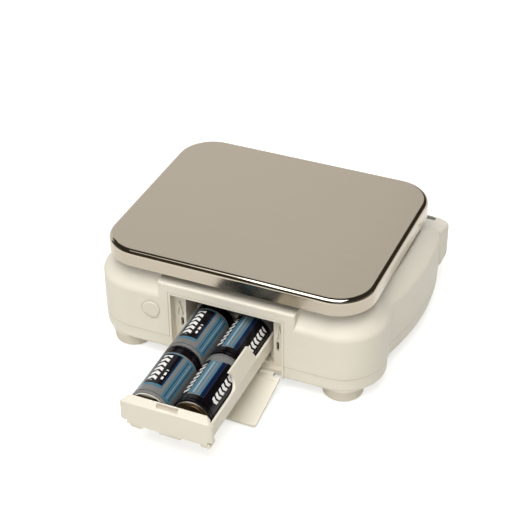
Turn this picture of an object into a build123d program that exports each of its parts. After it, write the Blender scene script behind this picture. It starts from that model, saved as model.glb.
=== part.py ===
"""Bench kitchen scale with a steel platter and a pull-out drawer for four D cells.

Millimetres, +Z up. The sizes below are measured from the middle of the platter on the
table plane: +X is to the right, -Y is the drawer side and +Y is the display side.
The drawer is out and its door is open, as the scale lies when the cells are changed.
Every piece is moved along Y once, at the end, so that the origin is in the middle of
the footprint.
"""
from build123d import *
from math import atan2, cos, degrees, hypot, radians, sin, sqrt
import os

# Platter: a pressed steel tray that lies upside down on its support
platter_width = 232.0
platter_depth = 189.0
platter_skirt = 14.5
platter_sheet = 1.0
platter_corner_r = 32.0
platter_edge_r = 4.0

# Plan of the case: rear corners, waist, bulged flanks and front corners are tangent arcs
case_half_width = 125.0
case_rear_y = -96.0
case_front_y = 97.0
rear_corner_r = 37.0
waist_r = 22.0
flank_r = 240.0
flank_bulge_x = 130.0
flank_bulge_y = 33.0
front_corner_r = 22.0
case_wall = 2.5

# Heights of the case
case_bottom = 11.8
parting_z = 25.2
shoulder_z = 65.0
deck_z = 80.0
shoulder_inset = 13.5
shoulder_r = 7.0
deck_edge_r = 3.0
bottom_r = 3.5
lower_reveal = 0.4
apron_half_width = 60.0
apron_top = 79.3
apron_depth = 22.0
apron_r = 2.0

# Head: the bar across the display side, with its sloping top
head_half_width = 127.3
head_front_y = 125.0
head_bow = 13.0
head_corner_r = 20.0
head_root_x = 120.0
head_root_y = 70.0
head_shoulder_y = 80.0
head_bottom = 30.0
head_slope = 21.0
head_top_z = 63.5
head_top_y = 97.0
head_edge_r = 3.0

# Panel in the head: sizes across X and down the slope, heights square to the panel
panel_rim = 3.2
panel_half_length = 113.5
panel_rear_y = 100.0
panel_corner_r = 9.0
panel_depth = 1.5
panel_thickness = 2.0
panel_floor = 2.5
window_x = -14.0
window_v = 14.2
window_length = 70.0
window_height = 14.0
window_border = 2.5
window_thickness = 1.0
lcd_margin = 1.0
key_x = (42.0, 58.0, 74.0, -78.0)
key_names = ("tare_key", "unit_key", "hold_key", "power_key")
key_length = 12.0
key_height = 8.0
key_corner_r = 2.5
key_proud = 1.0
key_travel = 0.8
key_flange = 1.2
key_clearance = 0.3
board_depth = 8.6
board_thickness = 1.6
board_half_length = 92.0
mat_thickness = 0.8
mat_height = 10.0
dome_r = 4.0
dome_top_r = 2.4
dome_gap = 0.05

# Battery bay: a tunnel with a flanged mouth in the drawer side
jamb_width = 10.0
flange_top = 70.5
flange_border = 2.0
flange_seam = 0.3
recess_depth = 8.0
jamb_thickness = 2.5
drawer_side_gap = 2.4
bay_floor = 19.5
bay_ceiling = 64.5
bay_wall = 2.0
lintel_z = 62.0
sill_height = 5.2
sill_setback = 3.6
rail_clearance = 0.3
rail_setback = 6.0
rail_side_gap = 0.5
guide_side_gap = 0.4
guide_height = 8.0
jamb_rib_z = 52.0
jamb_slot_width = 2.4
jamb_slot_low = 33.0
jamb_slot_high = 42.0

# D cells, and the drawer that carries them
cell_r = 16.8
cell_body = 60.0
cell_nub = 1.5
cell_nub_r = 4.7
cell_groove = 0.6
cell_axis_z = 40.5
cell_gap = 1.2
cell_edge = 0.8
cradle_clearance = 0.4
drawer_wall = 2.0
drawer_front_y = -205.0
drawer_front_thickness = 3.6
drawer_front_left = -40.0
drawer_front_right = 38.4
drawer_front_waist = 34.0
drawer_front_waist_z = 29.0
drawer_front_corner_r = 3.0
drawer_rear_thickness = 3.0
drawer_skin = 1.8
drawer_side_top = 44.5
drawer_left_top = 40.5
drawer_side_bottom = 31.0
drawer_front_bottom = 25.5
drawer_travel = 112.0
spring_space = 6.8
contact_thickness = 0.5
contact_pad_r = 7.0
strap_rise = 6.0
leaf_half_width = 4.0
leaf_half_height = 9.0
leaf_sheet = 0.5
leaf_span = 10.0
leaf_height = 11.0
spring_gap = 0.1
lip_top = 51.0
lip_depth = 5.3
lip_overhang_z = 47.8
lip_slope_x = 32.0
lip_slope_z = 44.5
lip_chamfer = 4.6
lip_notch_length = 18.0
lip_notch_floor = 48.2
lip_notch_wall = 1.2
tab_x = 1.75
tab_length = 18.3
tab_drop = 3.3
front_foot_drop = 3.5
front_feet = ((-32.0, -21.0), (27.5, 36.4))
wing_start_y = -162.0
wing_end_y = -117.0
wing_height = 14.5
wing_lean = 4.5
wing_slant = 5.0
stop_tab_width = 5.0
stop_tab_x = 24.0
stop_gap = 3.0

# Battery door, hinged below the mouth of the bay
door_thickness = 2.6
door_gap = 0.4
door_top_gap = 0.5
door_open_angle = 10.8
door_rim = 1.0
door_rim_width = 3.0
hinge_y = -94.7
hinge_z = 13.4
hinge_pin_r = 1.0
hinge_knuckle_r = 2.2
hinge_running_gap = 0.06
knuckle_length = 12.0
knuckle_x = (-36.0, 0.0, 36.0)
knuckle_gap = 0.4

# Feet
foot_side_inset = 30.0
foot_rear_inset = 20.5
foot_front_inset = 19.0
foot_r = 17.5
foot_taper = 0.8
foot_edge = 1.3
foot_boss_r = 18.2
foot_boss_z = 11.0
foot_screw_r = 2.0
foot_screw_length = 8.0

# Weighing mechanism
bridge_half_length = 58.0
bridge_width = 34.0
bridge_z = 68.2
bridge_sheet = 2.4
bridge_foot = 13.0
bridge_screw_inset = 6.5
cell_beam_length = 80.0
cell_beam_side = 12.7
beam_spacer = 1.5
beam_seat = 26.0
beam_screw_near = 22.0
beam_screw_far = 34.0
beam_window_r = 4.0
beam_window_offset = 8.0
island_wall = 2.4
island_gap = 0.9
deck_hole_gap = 2.5
support_gap = 1.4
support_rise = 8.0
support_hub_thickness = 3.2
support_arm_x = 92.0
support_arm_y = 66.0
support_arm_width = 13.0
support_rib = 3.0
pad_r = 8.0
pad_thickness = 3.0
pad_seat = 1.0
stop_screw_gap = 0.7

# Jack and its cap, left of the bay
jack_x = -67.0
jack_z = 49.0
jack_cap_r = 7.5
jack_cap_dish = 9.2
jack_dish_depth = 0.8
jack_cap_plug_r = 2.6
jack_body = 11.0
jack_depth = 14.0

# Fasteners
screw_r = 1.5
screw_head_r = 2.9
screw_head = 2.2
screw_gap = 0.1
boss_r = 4.2
case_screw_places = (
    (case_half_width - 21.0, -40.0),
    (case_half_width - 9.0, 14.0),
    (58.0, case_front_y - 13.0),
)
case_screw_length = 20.0
bay_screw_y = (-70.0, 30.0)
bay_screw_length = 18.0
bay_ear_height = 9.0

# Widths that follow from the cells outwards
cell_x = cell_gap / 2 + cell_r
cradle_r = cell_r + cradle_clearance
drawer_half_width = cell_x + cradle_r + drawer_wall
bay_half_width = drawer_half_width + drawer_side_gap
opening_half_width = bay_half_width + jamb_width
flange_half_width = opening_half_width + flange_border
head_front_r = (head_half_width ** 2 + head_bow ** 2) / (2 * head_bow)

# Places of the feet
foot_x = case_half_width - foot_side_inset
foot_rear_y = case_rear_y + foot_rear_inset
foot_front_y = case_front_y - foot_front_inset

# Heights of the weighing mechanism, from the bridge up to the platter
beam_low = bridge_z + bridge_sheet + beam_spacer
beam_high = beam_low + cell_beam_side
island_under = beam_high + island_gap
island_top = island_under + island_wall
support_low = island_top + support_gap
pad_low = support_low + support_rise
platter_top = pad_low + pad_thickness + platter_sheet


def block(x0, x1, y0, y1, z0, z1):
    """A box between two corners."""
    size = Box(abs(x1 - x0), abs(y1 - y0), abs(z1 - z0))
    return Pos((x0 + x1) / 2, (y0 + y1) / 2, (z0 + z1) / 2) * size


def rod(x, y, z0, z1, r):
    """An upright cylinder from z0 to z1."""
    return Pos(x, y, (z0 + z1) / 2) * Cylinder(r, abs(z1 - z0))


def rod_y(x, y0, y1, z, r):
    """A cylinder along Y from y0 to y1."""
    return Pos(x, (y0 + y1) / 2, z) * Rot(90, 0, 0) * Cylinder(r, abs(y1 - y0))


def rod_x(x0, x1, y, z, r):
    """A cylinder along X from x0 to x1."""
    return Pos((x0 + x1) / 2, y, z) * Rot(0, 90, 0) * Cylinder(r, abs(x1 - x0))


def both_sides(solid):
    """The solid and its mirror image across the middle plane."""
    return solid + mirror(solid, Plane.YZ)


def screw(x, y, z_head, z_tip, r=screw_r, head_r=screw_head_r, head=screw_head):
    """A pan-head screw along Z, its head outside z_head and its shank up to z_tip."""
    way = 1 if z_tip > z_head else -1
    body = rod(x, y, z_head, z_tip, r) + rod(x, y, z_head - way * head, z_head, head_r)
    socket = Pos(x, y, z_head - way * head) * Cylinder(head_r * 0.4, head)
    return body - socket


# Plan outlines

rear_c = (case_half_width - rear_corner_r, case_rear_y + rear_corner_r)
flank_c = (flank_bulge_x - flank_r, flank_bulge_y)
front_c_y = case_front_y - front_corner_r
front_reach = sqrt((flank_r - front_corner_r) ** 2 - (front_c_y - flank_bulge_y) ** 2)
front_c = (flank_c[0] + front_reach, front_c_y)


def waist_centre():
    """Centre of the arc that touches the rear corner and the flank from outside."""
    to_rear = rear_corner_r + waist_r
    to_flank = flank_r + waist_r
    dx, dy = rear_c[0] - flank_c[0], rear_c[1] - flank_c[1]
    span = hypot(dx, dy)
    along = (to_flank ** 2 - to_rear ** 2 + span ** 2) / (2 * span)
    across = sqrt(to_flank ** 2 - along ** 2)
    ux, uy = dx / span, dy / span
    return (flank_c[0] + along * ux - across * uy, flank_c[1] + along * uy + across * ux)


waist_c = waist_centre()


def angle(centre, point):
    """Direction from centre to point, in degrees."""
    return degrees(atan2(point[1] - centre[1], point[0] - centre[0]))


def case_plan(inset, z):
    """Plan of the case at height z, set in from its wall; every arc keeps its centre."""
    rear_end = angle(rear_c, waist_c)
    waist_start = angle(waist_c, rear_c)
    waist_end = angle(waist_c, flank_c)
    flank_start = angle(flank_c, waist_c)
    flank_end = angle(flank_c, front_c)
    turn = (waist_end % 360) - (waist_start % 360)
    r1 = CenterArc(rear_c, rear_corner_r - inset, -90, rear_end + 90)
    r2 = CenterArc(waist_c, waist_r + inset, waist_start, turn)
    r3 = CenterArc(flank_c, flank_r - inset, flank_start, flank_end - flank_start)
    r4 = CenterArc(front_c, front_corner_r - inset, flank_end, 90 - flank_end)
    half = [
        Line((0, case_rear_y + inset), r1 @ 0), r1, r2, r3, r4,
        Line(r4 @ 1, (0, case_front_y - inset)),
    ]
    edges = half + [mirror(e, Plane.YZ) for e in half]
    return Pos(0, 0, z) * make_face(edges)


head_c = (0.0, head_front_y - head_front_r)
head_corner_c = (
    head_half_width - head_corner_r,
    head_c[1] + sqrt((head_front_r - head_corner_r) ** 2
                     - (head_half_width - head_corner_r) ** 2),
)


def head_plan(inset, z):
    """Plan of the head at height z: slanted roots, round corners and a bowed front."""
    corner_end = angle(head_c, head_corner_c)
    r1 = CenterArc(head_corner_c, head_corner_r - inset, 0, corner_end)
    r2 = CenterArc(head_c, head_front_r - inset, corner_end, 90 - corner_end)
    root = (head_root_x - inset, head_root_y)
    shoulder = (head_half_width - inset, head_shoulder_y)
    half = [Line((0, head_root_y), root), Line(root, shoulder), Line(shoulder, r1 @ 0), r1, r2]
    edges = half + [mirror(e, Plane.YZ) for e in half]
    return Pos(0, 0, z) * make_face(edges)


def arc_y(x, inset):
    """Where the bowed front, set in, lies at this x."""
    return head_c[1] + sqrt((head_front_r - inset) ** 2 - x ** 2)


# The panel's own frame: origin on the head's top face, local y down the slope
slope_plane = Plane(
    origin=(0, head_top_y, head_top_z), x_dir=(1, 0, 0),
    z_dir=(0, sin(radians(head_slope)), cos(radians(head_slope))),
)
panel_top = -panel_depth
floor_top = panel_top - panel_thickness
floor_under = floor_top - panel_floor
board_top = panel_top - board_depth


def slab(low, high, half_x=160.0, v0=-120.0, v1=120.0, x=0.0):
    """A block in the panel's frame, between two heights over the head's top face."""
    size = Box(2 * half_x, v1 - v0, high - low)
    return slope_plane * Pos(x, (v0 + v1) / 2, (low + high) / 2) * size


def plate_on_slope(x, v, length, height, low, high, corner_r=0.0):
    """A plate in the panel's frame centred at x and v, with rounded corners."""
    shape = RectangleRounded(length, height, corner_r) if corner_r else Rectangle(length, height)
    return slope_plane * Pos(x, v, low) * extrude(shape, high - low)


# Case

def case_form(inset):
    """The case above the parting line as one solid, set in from its outside."""
    low = case_plan(inset, parting_z)
    top = deck_z - inset
    body = extrude(low, shoulder_z - parting_z)
    crown = loft([case_plan(inset, shoulder_z), case_plan(inset + shoulder_inset, top)], ruled=True)
    return body + crown


def under_slope(depth):
    """All that lies the given depth below the head's sloping top, carried on over the case."""
    return slab(-200.0, -depth, 200.0, -300.0, 160.0)


def edges_at(solid, z, tolerance=0.01):
    """The edges that lie flat at height z."""
    return [e for e in solid.edges()
            if abs(e.bounding_box().min.Z - z) < tolerance
            and abs(e.bounding_box().max.Z - z) < tolerance]


def head_form(inset, lower_z):
    """The head as one solid below its sloping top, set in from its outside."""
    prism = extrude(head_plan(inset, lower_z), head_top_z + 30 - lower_z)
    return prism & slab(-120, 0)


def apron():
    """The raised block over the mouth of the bay."""
    form = block(-apron_half_width, apron_half_width, case_rear_y,
                 case_rear_y + apron_depth, parting_z + 20, apron_top)
    rims = [e for e in form.edges() if e.bounding_box().min.Z > apron_top - 0.01
            and e.bounding_box().max.Y < case_rear_y + apron_depth - 0.01]
    sides = form.edges().filter_by(Axis.Z).sort_by(Axis.Y)[:2]
    return fillet(rims + list(sides), apron_r)


island_half_x = cell_beam_length / 2 + 5.0
island_half_y = cell_beam_side / 2 + 5.0
post_x = (beam_screw_near + beam_screw_far) / 2
post_half_x = (beam_screw_far - beam_screw_near) / 2 + 5.0


def island(grow, z_top):
    """The raised island of the deck over the load cell."""
    return block(-island_half_x - grow, island_half_x + grow, -island_half_y - grow,
                 island_half_y + grow, deck_z - 6, z_top)


def upper_case():
    outer = case_form(0)
    outer = fillet(edges_at(outer, shoulder_z), shoulder_r)
    outer = fillet(edges_at(outer, deck_z), deck_edge_r) & under_slope(0)
    head = head_form(0, head_bottom)
    roots = [e for e in head.edges().filter_by(Axis.Z)
             if abs(abs(e.center().X) - head_half_width) < 0.1
             and abs(e.center().Y - head_shoulder_y) < 0.1]
    head = fillet(roots, 5.0)
    rim = [e for e in head.edges() if e.center().Y > head_shoulder_y - 6
           and slope_height(e) > -0.2]
    head = fillet(rim, head_edge_r)
    low = [e for e in edges_at(head, head_bottom) if e.center().Y > head_root_y + 0.5]
    head = fillet(low, head_edge_r)
    hill = fillet(island(island_wall, island_top).edges().group_by(Axis.Z)[-1], 1.5)
    outer = outer + head + apron() + hill
    inner = case_form(case_wall) & under_slope(case_wall)
    inner = inner + (head_form(case_wall, head_bottom + case_wall) & slab(-120, floor_under))
    mouth = block(-flange_half_width - flange_seam, flange_half_width + flange_seam,
                  case_rear_y - 5, case_rear_y + recess_depth + jamb_thickness + 0.5,
                  parting_z - 5, flange_top + flange_seam)
    case = outer - inner - mouth - island(0, island_under) - panel_recess()
    case = case - block(post_x - post_half_x - deck_hole_gap, post_x + post_half_x + deck_hole_gap,
                        -cell_beam_side / 2 - deck_hole_gap, cell_beam_side / 2 + deck_hole_gap,
                        island_under - 1, island_top + 1)
    case = case + upper_bosses() + jack_seat()
    return case - screw_holes(parting_z - 1, case_screw_tip) - jack_cuts()


def slope_height(edge):
    """Lowest height of an edge over the sloping top face."""
    ends = [slope_plane.to_local_coords(edge @ t).Z for t in (0, 0.5, 1)]
    return min(ends)


def panel_form(inset, low, high, rear_gap=0.0, half_x=panel_half_length, corner_r=panel_corner_r):
    """A slab between two heights, bowed like the head's front and round at its front corners."""
    front_r = head_front_r - inset
    side = half_x - corner_r
    corner_c = (side, head_c[1] + sqrt((front_r - corner_r) ** 2 - side ** 2))
    corner_end = angle(head_c, corner_c)
    r1 = CenterArc(corner_c, corner_r, 0, corner_end)
    r2 = CenterArc(head_c, front_r, corner_end, 90 - corner_end)
    rear = panel_rear_y + rear_gap
    half = [Line((0, rear), (half_x, rear)), Line((half_x, rear), r1 @ 0), r1, r2]
    outline = make_face(half + [mirror(e, Plane.YZ) for e in half])
    return extrude(outline, 100) & slab(low, high)


def panel_recess():
    """The shallow seat of the panel and the openings in its floor."""
    cuts = panel_form(panel_rim, floor_top, 20)
    cuts += plate_on_slope(window_x, lcd_v, lcd_length + 1, lcd_height + 1, floor_under - 1, floor_top + 1)
    for x in key_x:
        cuts += plate_on_slope(x, key_v(x), key_length + 2 * key_clearance,
                               key_height + 2 * key_clearance, floor_under - 1, floor_top + 1,
                               key_corner_r)
    return cuts


lcd_length = window_length + 2 * lcd_margin
lcd_height = window_height + 2 * lcd_margin
lcd_v = window_v


def key_v(x):
    """Keys stand in the middle of the panel's width at their place."""
    rear = (panel_rear_y - head_top_y) / cos(radians(head_slope))
    front = (arc_y(x, panel_rim) - head_top_y) / cos(radians(head_slope))
    return (rear + front) / 2


case_screw_tip = case_bottom + 2 + case_screw_length


def upper_bosses():
    """Screw bosses that hang from the shoulder and the deck."""
    made = None
    for x, y in case_screw_places:
        boss = both_sides(rod(x, y, parting_z, deck_z, boss_r))
        made = boss if made is None else made + boss
    return made & case_form(case_wall / 2) & under_slope(case_wall / 2)


def screw_holes(z0, z1):
    """Pilot holes of the case screws."""
    made = None
    for x, y in case_screw_places:
        hole = both_sides(rod(x, y, z0, z1, screw_r + screw_gap))
        made = hole if made is None else made + hole
    return made


def jack_seat():
    """The tube behind the rear wall that takes the jack."""
    rear = case_rear_y + case_wall
    half = jack_body / 2 + 0.3 + 1.6
    return block(jack_x - half, jack_x + half, rear - 0.5, rear + jack_depth * 0.6,
                 jack_z - half, jack_z + half)


def jack_cuts():
    """Dish, cap hole and jack pocket."""
    rear = case_rear_y + case_wall
    half = jack_body / 2 + 0.02
    dish = rod_y(jack_x, case_rear_y - 1, case_rear_y + jack_dish_depth, jack_z, jack_cap_dish)
    hole = rod_y(jack_x, case_rear_y - 1, rear + 1, jack_z, jack_cap_plug_r + 0.2)
    pocket = block(jack_x - half, jack_x + half, rear, rear + jack_depth,
                   jack_z - half, jack_z + half)
    return dish + hole + pocket


def lower_case():
    """The tray under the parting line, with bosses for feet, screws and bridge."""
    outer = extrude(case_plan(lower_reveal, case_bottom), parting_z - case_bottom)
    outer = fillet(edges_at(outer, case_bottom), bottom_r)
    inner = extrude(case_plan(lower_reveal + case_wall, case_bottom + case_wall), 30)
    tray = outer - inner
    hold = extrude(case_plan(lower_reveal + 0.4, foot_boss_z), parting_z - foot_boss_z)
    for x in (-foot_x, foot_x):
        for y in (foot_rear_y, foot_front_y):
            tray = tray + (rod(x, y, foot_boss_z, case_bottom + case_wall + 0.5, foot_boss_r) & hold)
            tray = tray + rod(x, y, case_bottom + 1, foot_boss_z + foot_screw_length + 1, boss_r + 1.2)
    for x, y in case_screw_places + bay_screw_places:
        tray = tray + both_sides(rod(x, y, case_bottom + 1, parting_z, boss_r + 1.2))
    for y in bridge_foot_y:
        tray = tray + both_sides(rod(bridge_screw_x, y, case_bottom + 1, bridge_base_z, boss_r))
    mouth = block(-flange_half_width - flange_seam, flange_half_width + flange_seam,
                  case_rear_y - 5, case_rear_y + recess_depth + jamb_thickness + 0.5,
                  case_bottom - 5, parting_z + 5)
    tray = tray - mouth
    for x, y in case_screw_places + bay_screw_places:
        tray = tray - both_sides(rod(x, y, case_bottom - 5, case_bottom + 2, screw_head_r + 0.3))
        tray = tray - both_sides(rod(x, y, case_bottom - 5, parting_z + 1, screw_r + screw_gap))
    for y in bridge_foot_y:
        tray = tray - both_sides(rod(bridge_screw_x, y, case_bottom + case_wall, 40,
                                     screw_r + screw_gap))
    for x in (-foot_x, foot_x):
        for y in (foot_rear_y, foot_front_y):
            tray = tray - rod(x, y, foot_boss_z - 1, foot_boss_z + foot_screw_length, foot_screw_r + screw_gap)
    return tray


bridge_screw_x = bridge_half_length + bridge_screw_inset
bridge_foot_y = (-bridge_width / 2 + 7.0, bridge_width / 2 - 7.0)
bridge_base_z = parting_z - 3.0
bay_screw_x = bay_half_width + bay_wall + boss_r + 1.6
bay_screw_places = tuple((bay_screw_x, y) for y in bay_screw_y)


# Battery bay and its door

bay_rear = drawer_travel + drawer_front_y + drawer_front_thickness + 2 * cell_body \
    + 2 * cell_nub + spring_space + drawer_rear_thickness + 1.5
recess_y = case_rear_y + recess_depth
jamb_y = recess_y + jamb_thickness


def battery_bay():
    """Flanged tunnel that guides the drawer; it also carries the door's hinge."""
    opening = opening_half_width
    sill_top = case_bottom + sill_height
    bay = block(-flange_half_width, flange_half_width, case_rear_y, jamb_y, case_bottom, flange_top)
    bay = bay - block(-opening, opening, case_rear_y - 1, recess_y, sill_top, flange_top - flange_border)
    bay = bay - block(-opening, opening, case_rear_y - 1, case_rear_y + sill_setback,
                      case_bottom - 1, sill_top + 1)
    tunnel = block(-bay_half_width - bay_wall, bay_half_width + bay_wall, jamb_y, bay_rear + bay_wall,
                   bay_floor - bay_wall, bay_ceiling + bay_wall)
    hollow = block(-bay_half_width, bay_half_width, jamb_y, bay_rear, bay_floor, bay_ceiling)
    mouth = block(-bay_half_width, bay_half_width, recess_y - 1, jamb_y + 1, bay_floor, lintel_z)
    bay = bay + tunnel - hollow - mouth
    bay = bay + block(-bay_half_width, bay_half_width, jamb_y - 0.5, drawer_inner_rear - stop_gap,
                      lintel_z, bay_ceiling)
    rail_top = drawer_side_bottom - rail_clearance
    rail = block(rail_inner_x, bay_half_width, recess_y + rail_setback, bay_rear, bay_floor, rail_top)
    bay = bay + both_sides(rail)
    guide = block(drawer_half_width + guide_side_gap, bay_half_width, recess_y + rail_setback, bay_rear,
                  rail_top, rail_top + guide_height)
    bay = bay + both_sides(guide)
    bay = bay + both_sides(jamb_rib(jamb_rib_z))
    slot = block(jamb_slot_x, jamb_slot_x + jamb_slot_width, recess_y - 1, jamb_y + 1,
                 jamb_slot_low, jamb_slot_high)
    bay = bay - both_sides(slot)
    for x in catch_x:
        bay = bay - block(x - catch_half - 0.5, x + catch_half + 0.5, recess_y - 3, recess_y + 1,
                          flange_top - flange_border - 0.1, flange_top - flange_border + 1.2)
    bay = bay + hinge_lugs()
    for x, y in bay_screw_places:
        ear = block(bay_half_width + bay_wall - 0.5, x, y - boss_r, y + boss_r, parting_z, parting_z + 3)
        ear += rod(x, y, parting_z, parting_z + bay_ear_height, boss_r)
        ear -= rod(x, y, parting_z - 1, parting_z + bay_ear_height - 1, screw_r + screw_gap)
        bay = bay + both_sides(ear)
    return bay


rail_inner_x = cell_x + rail_side_gap + sqrt((cradle_r + drawer_skin) ** 2
                                             - (cell_axis_z - drawer_side_bottom) ** 2)
jamb_slot_x = bay_half_width + 2.4
catch_x = (-24.0, 24.0)
catch_half = 4.0


def jamb_rib(z):
    """A roof-shaped rib on the jamb, beside the mouth."""
    x0, x1 = bay_half_width + 2.0, opening_half_width - 1.5
    middle = (x0 + x1) / 2
    shape = make_face(Polyline((x0, z - 6), (middle, z + 7), (x1, z - 6), (x1 - 1.6, z - 6),
                               (middle, z + 3), (x0 + 1.6, z - 6), close=True))
    rib = extrude(Plane.XZ * shape, 2.0)
    return Pos(0, recess_y + 0.2, 0) * rib


def hinge_lugs():
    """Ears below the sill that hold the hinge pin between the door's knuckles."""
    made = None
    for x in lug_x:
        ear = rod_x(x - knuckle_length / 2, x + knuckle_length / 2, hinge_y, hinge_z, hinge_knuckle_r)
        ear += block(x - knuckle_length / 2, x + knuckle_length / 2, hinge_y,
                     case_rear_y + sill_setback + 1.0, hinge_z - 1.0, hinge_z + hinge_knuckle_r)
        ear += block(x - knuckle_length / 2, x + knuckle_length / 2, case_rear_y + sill_setback - 0.5,
                     case_rear_y + sill_setback + 2.0, hinge_z - 1.0, case_bottom + sill_height)
        made = ear if made is None else made + ear
    return made - rod_x(-60, 60, hinge_y, hinge_z, hinge_pin_r)


knuckle_step = knuckle_length + knuckle_gap
lug_x = (knuckle_x[0] + knuckle_step, -knuckle_step, knuckle_step, knuckle_x[2] - knuckle_step)
pin_end_x = knuckle_x[2] + knuckle_length / 2 + 1.0
door_half_width = opening_half_width - door_gap
door_length = flange_top - flange_border - door_top_gap - hinge_z


def battery_door():
    """A flat door in the frame, drawn upright in its closed place and swung open."""
    y0, y1 = hinge_y - door_thickness / 2, hinge_y + door_thickness / 2
    top = hinge_z + door_length
    door = block(-door_half_width, door_half_width, y0, y1, hinge_z + hinge_knuckle_r + 0.5, top)
    upright = door.edges().filter_by(Axis.Y).sort_by(Axis.Z)[-2:]
    door = fillet(upright, 2.0)
    field = block(-door_half_width + door_rim_width, door_half_width - door_rim_width,
                  y1 - door_rim, y1 + 1, hinge_z + 7.0, top - door_rim_width)
    door = door - field
    for x in catch_x:
        hook = block(x - catch_half, x + catch_half, y1 - 1.2, y1 + 1.0, top - 6.0, top + 0.9)
        door = door + hook
    for x in (-16.0, 16.0):
        rib = block(x - 0.6, x + 0.6, y1 - door_rim - 0.2, y1, hinge_z + 6.0, top - 2.0)
        door = door + rib
    for x in knuckle_x:
        half = knuckle_length / 2
        door = door + rod_x(x - half, x + half, hinge_y, hinge_z, hinge_knuckle_r)
        door = door + block(x - half, x + half, y0, y1, hinge_z, hinge_z + hinge_knuckle_r + 1)
    door = door - rod_x(-60, 60, hinge_y, hinge_z, hinge_pin_r + hinge_running_gap)
    turn = Pos(0, hinge_y, hinge_z) * Rot(90 + door_open_angle, 0, 0) * Pos(0, -hinge_y, -hinge_z)
    return turn * door


def door_hinge_pin():
    pin = rod_x(-pin_end_x, pin_end_x, hinge_y, hinge_z, hinge_pin_r)
    return chamfer(pin.edges().filter_by(GeomType.CIRCLE), 0.3)


# Drawer

drawer_inner_front = drawer_front_y + drawer_front_thickness
drawer_inner_rear = drawer_inner_front + 2 * (cell_body + cell_nub) + spring_space
drawer_rear_y = drawer_inner_rear + drawer_rear_thickness


def drawer_section(outer):
    """Cross-section of the drawer: two round cradles under straight side walls."""
    r = cradle_r + (drawer_skin if outer else 0)
    half = drawer_half_width - (0 if outer else drawer_wall)
    low = drawer_side_bottom if outer else cell_axis_z
    shape = Pos(0, (low + drawer_side_top) / 2) * Rectangle(2 * half, drawer_side_top - low)
    if not outer:
        shape += Pos(0, drawer_side_top + 4) * Rectangle(2 * half, 8.01)
    for x in (-cell_x, cell_x):
        shape += Pos(x, cell_axis_z + cradle_clearance - 0.02) * Circle(r)
    return shape & (Pos(0, drawer_side_top - 50 + (0 if outer else 8)) * Rectangle(2 * half, 100))


def along_y(shape, y0, y1):
    """Extrude a cross-section drawn in XZ from y0 to y1."""
    return Pos(0, y1, 0) * extrude(Plane.XZ * shape, y1 - y0)


def drawer_front():
    """The front plate with its sloping lip, waisted below so that its ends overhang the tray."""
    y0, y1 = drawer_front_y, drawer_inner_front
    left, right, waist = drawer_front_left, drawer_front_right, drawer_front_waist
    plate = block(left, right, y0, y1, drawer_front_waist_z, lip_slope_z)
    plate = plate + block(-waist, waist, y0, y1, drawer_front_bottom, lip_slope_z)
    crown = lip_outline(lip_slope_z - 0.01)
    front = plate + along_y(crown, y0, y1)
    corners = [e for e in front.edges().filter_by(Axis.Z)
               if min(abs(e.center().X - left), abs(e.center().X - right)) < 0.01
               and e.center().Y < y0 + 0.01]
    front = fillet(corners, drawer_front_corner_r)
    over = block(left, right, y0, y1 + 10, lip_overhang_z, lip_top)
    lip = along_y(lip_outline(lip_overhang_z - 8), y1 - 0.5, y0 + lip_depth) & over
    front = front + lip
    shave = make_face(Polyline((y0 - 1, lip_top - lip_chamfer - 1), (y0 - 1, lip_top + 1),
                               (y0 + lip_chamfer + 1, lip_top + 1), close=True))
    front = front - Pos(-60, 0, 0) * extrude(Plane.YZ * shave, 120)
    pocket = block(-lip_notch_length / 2, lip_notch_length / 2, y0 - 1,
                   y0 + lip_depth - lip_notch_wall, lip_notch_floor, lip_top + 1)
    return front - pocket


def lip_outline(low):
    """The lip seen from the front: level in the middle, with its ends sloping down."""
    left, right = drawer_front_left, drawer_front_right
    return make_face(Polyline((left, low), (left, lip_slope_z), (-lip_slope_x, lip_top),
                              (lip_slope_x, lip_top), (right, lip_slope_z), (right, low), close=True))


def drawer_feet():
    """Two flat feet and a tongue between them, under the front of the tray."""
    made = block(tab_x - tab_length / 2, tab_x + tab_length / 2, drawer_front_y + 1.2,
                 drawer_front_y + 6, drawer_front_bottom - tab_drop, drawer_front_bottom + 1)
    for x0, x1 in front_feet:
        foot = block(x0, x1, drawer_front_y + 1, drawer_front_y + 9,
                     drawer_front_bottom - front_foot_drop, drawer_front_bottom + 1)
        made = made + fillet(foot.edges().filter_by(Axis.Y).group_by(Axis.Z)[0], 2.5)
    return made


def battery_drawer():
    body = along_y(drawer_section(True), drawer_inner_front - 0.2, drawer_rear_y) + drawer_feet()
    body = body - along_y(drawer_section(False), drawer_inner_front, drawer_inner_rear)
    body = body - block(-drawer_half_width - 1, -cell_x / 2, drawer_inner_front, drawer_inner_rear,
                        drawer_left_top, drawer_side_top + 1)
    body = body + drawer_front()
    for x in (-stop_tab_x, stop_tab_x):
        tab = block(x - stop_tab_width, x + stop_tab_width, drawer_inner_rear, drawer_rear_y,
                    cell_axis_z, bay_ceiling - 0.5)
        body = body + tab
    body = body + drawer_wing()
    for x in (-cell_x, cell_x):
        body = body - block(x - 3, x + 3, drawer_inner_front + 12, drawer_inner_front + 52,
                            10, cell_axis_z - cradle_r + 0.2)
    return body


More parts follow.
